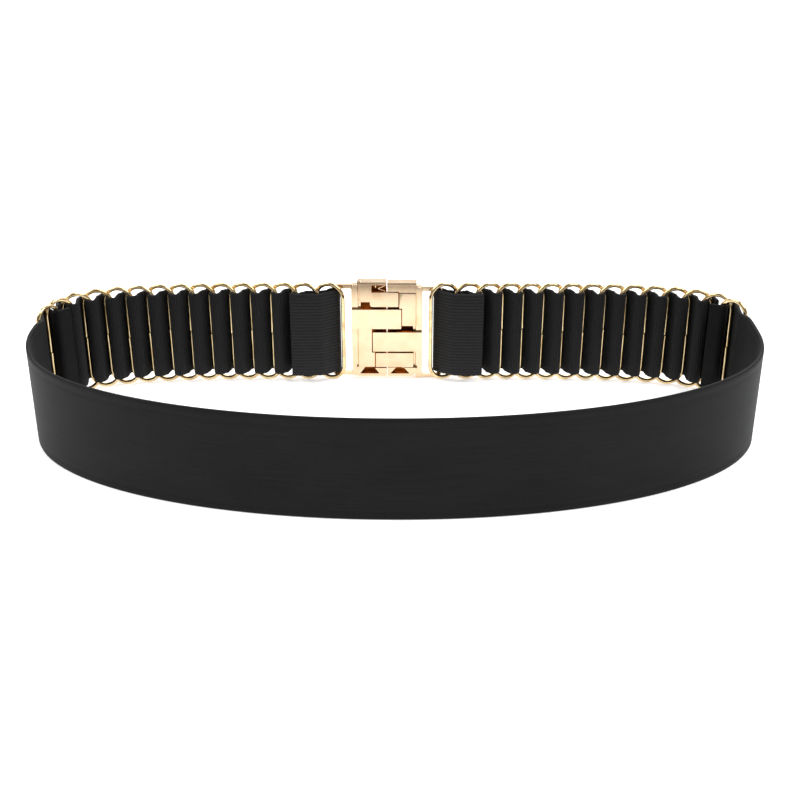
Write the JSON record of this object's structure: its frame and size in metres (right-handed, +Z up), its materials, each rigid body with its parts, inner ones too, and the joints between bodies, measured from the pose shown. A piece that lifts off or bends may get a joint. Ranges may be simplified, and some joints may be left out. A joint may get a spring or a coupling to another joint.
{
  "type": "elastic stretch belt",
  "caption": "Fastened elastic waist belt: plain webbing band, chains of shingled oval metal rings with webbing woven through them, and an interlocking two-part clasp.",
  "frame": {"origin": "under the middle of the belt's box, on the surface the belt stands on", "axes": "+X to the wearer's side seen at the right of the clasp's inner face, +Y from the plain band towards the clasp, +Z up along the webbing's width"},
  "size_m": [0.2842, 0.1256, 0.0439],
  "materials": {
    "band_webbing": "smooth black elastic webbing with a fine rib",
    "woven_webbing": "ribbed black elastic webbing",
    "ring_wire": "polished light gold plate",
    "clasp_metal": "polished pale gold plate"
  },
  "bodies": {
    "root": {"plain_band": "band_webbing", "woven_elastic_left": "woven_webbing", "woven_elastic_right": "woven_webbing", "ring_left_01": "ring_wire", "ring_left_02": "ring_wire", "ring_left_03": "ring_wire", "ring_left_04": "ring_wire", "ring_left_05": "ring_wire", "ring_left_06": "ring_wire", "ring_left_07": "ring_wire", "ring_left_08": "ring_wire", "ring_left_09": "ring_wire", "ring_left_10": "ring_wire", "ring_left_11": "ring_wire", "ring_left_12": "ring_wire", "ring_left_13": "ring_wire", "ring_left_14": "ring_wire", "ring_left_15": "ring_wire", "ring_right_01": "ring_wire", "ring_right_02": "ring_wire", "ring_right_03": "ring_wire", "ring_right_04": "ring_wire", "ring_right_05": "ring_wire", "ring_right_06": "ring_wire", "ring_right_07": "ring_wire", "ring_right_08": "ring_wire", "ring_right_09": "ring_wire", "ring_right_10": "ring_wire", "ring_right_11": "ring_wire", "ring_right_12": "ring_wire", "ring_right_13": "ring_wire", "ring_right_14": "ring_wire", "ring_right_15": "ring_wire", "clasp_half_left": "clasp_metal", "clasp_half_right": "clasp_metal"}
  },
  "joints": []
}
